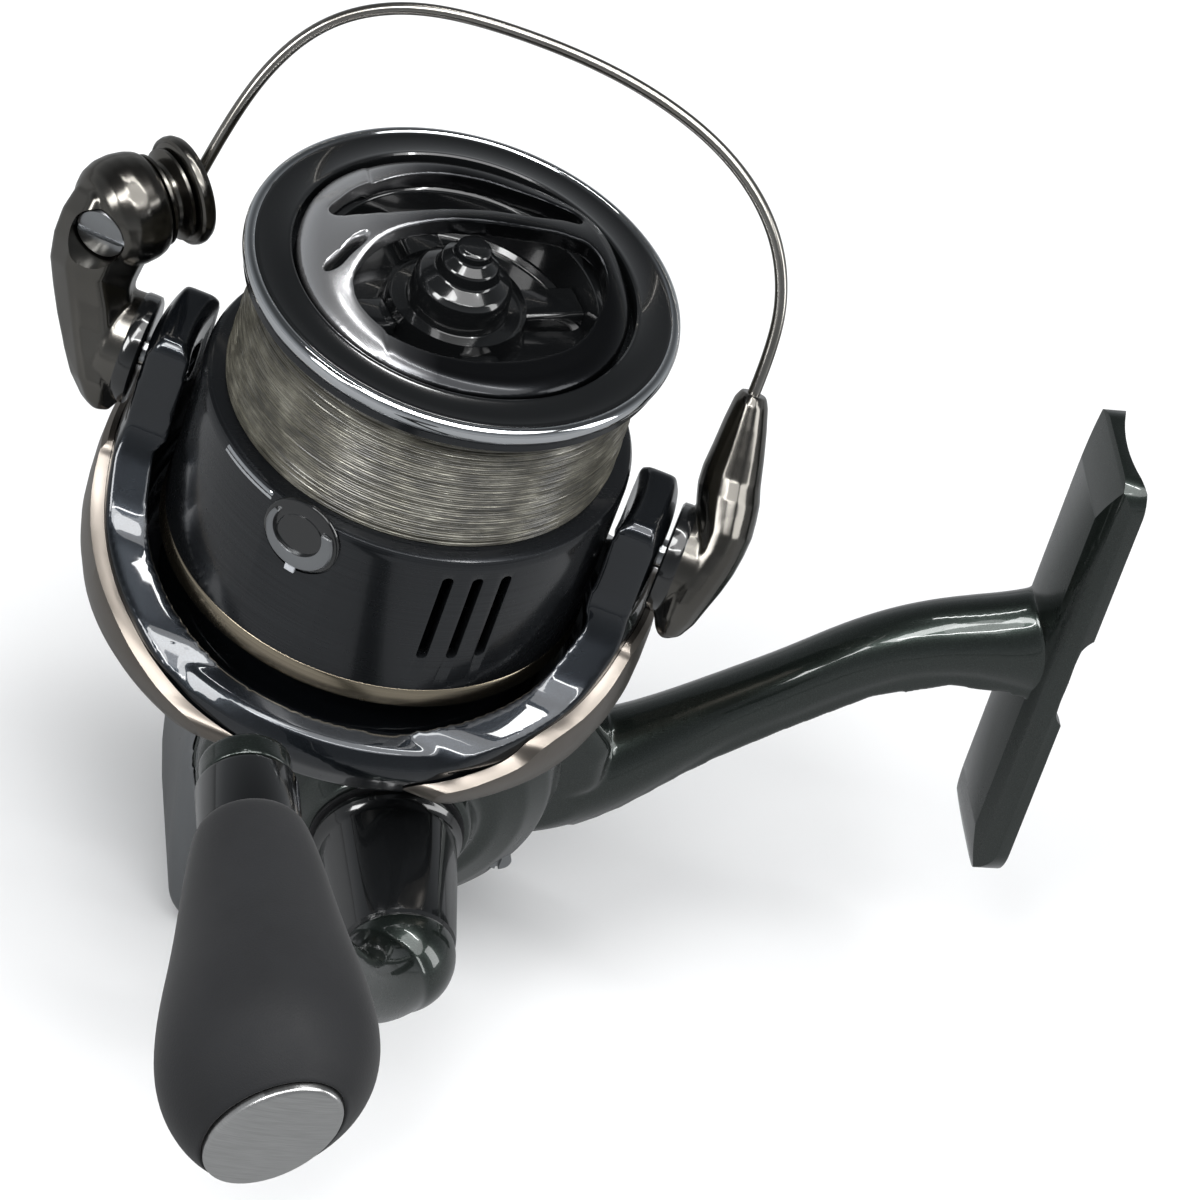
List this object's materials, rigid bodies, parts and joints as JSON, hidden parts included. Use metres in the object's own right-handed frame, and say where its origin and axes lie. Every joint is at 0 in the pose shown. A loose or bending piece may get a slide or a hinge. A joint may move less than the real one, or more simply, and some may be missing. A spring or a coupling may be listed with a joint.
{
  "type": "spinning reel",
  "caption": "Fixed-spool fishing reel with a bail, roller, front drag knob, slotted spool with line, curved stem with rod foot, and a cranked handle with a rounded grip.",
  "frame": {"origin": "middle of the rod foot's seat, level with its two edge lands", "axes": "+Z along the main shaft towards the spool's front, +X out of the reel towards the rod, handle on the -Y side"},
  "size_m": [0.1165, 0.122, 0.1056],
  "materials": {
    "body_paint": "gloss dark green-black metallic paint",
    "rotor_gloss": "gloss blue-black",
    "cover_metal": "polished warm grey",
    "guard_metal": "satin silver",
    "bail_metal": "polished dark bronze",
    "bright_chrome": "polished",
    "steel": "machined",
    "bearing_steel": "ground",
    "gear_alloy": "machined",
    "brass_gear": "machined",
    "black_gloss": "gloss black",
    "spool_gloss": "dark satin anodised",
    "band_champagne": "satin champagne",
    "knob_dark": "satin dark, polished edge",
    "line": "translucent grey-olive line",
    "felt": "drag felt",
    "grip": "matte black",
    "cap_silver": "satin silver",
    "seal": "matte black",
    "white_plastic": "plain white"
  },
  "bodies": {
    "body": {"body_frame": "body_paint", "side_cover": "body_paint", "rear_guard": "guard_metal", "cover_screws": "bright_chrome", "handle_seal": "seal", "far_cap": "black_gloss", "drive_bearings": "bearing_steel", "pinion_bearings": "bearing_steel", "bearing_plate": "gear_alloy", "clutch_housing": "gear_alloy", "clutch_rollers": "bearing_steel", "guide_rod": "steel", "worm_bushes": "white_plastic"},
    "handle": {"drive_gear": "gear_alloy", "drive_shaft": "steel", "handle_shank": "black_gloss", "handle_arm": "body_paint", "knob_shaft": "steel", "knob_screw": "steel"},
    "knob": {"knob_core": "white_plastic", "knob_bearings": "bearing_steel", "knob_grip": "grip", "knob_collar": "black_gloss", "knob_cap": "cap_silver"},
    "rotor": {"rotor": "rotor_gloss", "arm_cover_left": "cover_metal", "arm_cover_right": "cover_metal", "pinion": "brass_gear", "rotor_nut": "brass_gear", "nut_lock": "steel", "clutch_sleeve": "steel", "bail_spring": "steel", "pivot_bolts": "steel"},
    "trip": {"trip_lever": "steel"},
    "bail": {"bail_lever": "bail_metal", "bail_arm": "bail_metal", "bail_wire": "bail_metal", "wire_support": "bail_metal", "roller_screw": "bright_chrome"},
    "roller": {"line_roller": "bail_metal", "roller_bearing": "bearing_steel"},
    "shaft": {"main_shaft": "steel", "slider": "gear_alloy", "worm_pawl": "steel", "spool_support": "brass_gear"},
    "spool": {"spool_body": "spool_gloss", "spool_lip": "bright_chrome", "front_ring": "black_gloss", "skirt_band": "band_champagne", "line_winding": "line", "drag_washers": "steel", "drag_felts": "felt", "washer_clip": "steel", "spool_bearings": "bearing_steel"},
    "clip": {"line_clip": "black_gloss"},
    "drag_knob": {"drag_knob": "knob_dark"},
    "drag_nut": {"drag_nut": "steel"},
    "idler": {"idler_gear": "white_plastic"},
    "worm": {"worm_shaft": "steel", "worm_gear": "white_plastic"}
  },
  "joints": [
    {"name": "handle_turn", "type": "hinge", "parent": "body", "child": "handle", "pos_m": [-0.0704, -0.02, -0.0217], "axis": [0, 1, 0], "continuous": true},
    {"name": "knob_spin", "type": "hinge", "parent": "handle", "child": "knob", "pos_m": [-0.097, -0.07, 0.0212], "axis": [0, -1, 0], "continuous": true},
    {"name": "rotor_turn", "type": "hinge", "parent": "body", "child": "rotor", "pos_m": [-0.0764, 0, -0.0005], "axis": [0, 0, 1], "continuous": true},
    {"name": "bail_flip", "type": "hinge", "parent": "rotor", "child": "bail", "pos_m": [-0.0764, 0, 0.0155], "axis": [0.9336, -0.3584, 0], "range_deg": [0, 105]},
    {"name": "trip_shift", "type": "slide", "parent": "rotor", "child": "trip", "axis": [0, 0, 1], "range_m": [-0.001, 0]},
    {"name": "roller_spin", "type": "hinge", "parent": "bail", "child": "roller", "pos_m": [-0.10117, 0.01919, 0.02942], "axis": [0.8769, 0.4568, 0.1495], "continuous": true},
    {"name": "spool_stroke", "type": "slide", "parent": "body", "child": "shaft", "axis": [0, 0, 1], "range_m": [-0.008, 0.006]},
    {"name": "drag_slip", "type": "hinge", "parent": "shaft", "child": "spool", "pos_m": [-0.0764, 0, 0.0245], "axis": [0, 0, 1], "continuous": true},
    {"name": "clip_lift", "type": "slide", "parent": "spool", "child": "clip", "axis": [-0.5807, -0.8141, 0], "range_m": [0, 0.0008], "stiffness_N_per_m": 400},
    {"name": "drag_knob_turn", "type": "hinge", "parent": "shaft", "child": "drag_knob", "pos_m": [-0.0764, 0, 0.0395], "axis": [0, 0, 1], "range_deg": [-720, 144]},
    {"name": "drag_nut_travel", "type": "slide", "parent": "shaft", "child": "drag_nut", "axis": [0, 0, 1], "range_m": [-0.001, 0.0002]},
    {"name": "idler_turn", "type": "hinge", "parent": "body", "child": "idler", "pos_m": [-0.07325, 0.00634, -0.0141], "axis": [0, 0, 1], "continuous": true},
    {"name": "worm_turn", "type": "hinge", "parent": "body", "child": "worm", "pos_m": [-0.0817, 0.0072, -0.0305], "axis": [0, 0, 1], "continuous": true}
  ],
  "couplings": [
    {"joint": "rotor_turn", "follows": "handle_turn", "ratio": 4.2727},
    {"joint": "idler_turn", "follows": "handle_turn", "ratio": -3.3571},
    {"joint": "worm_turn", "follows": "handle_turn", "ratio": 2.9375},
    {"joint": "trip_shift", "follows": "bail_flip", "m_per_rad": -0.00054567},
    {"joint": "drag_nut_travel", "follows": "drag_knob_turn", "m_per_rad": 0.000079577}
  ]
}
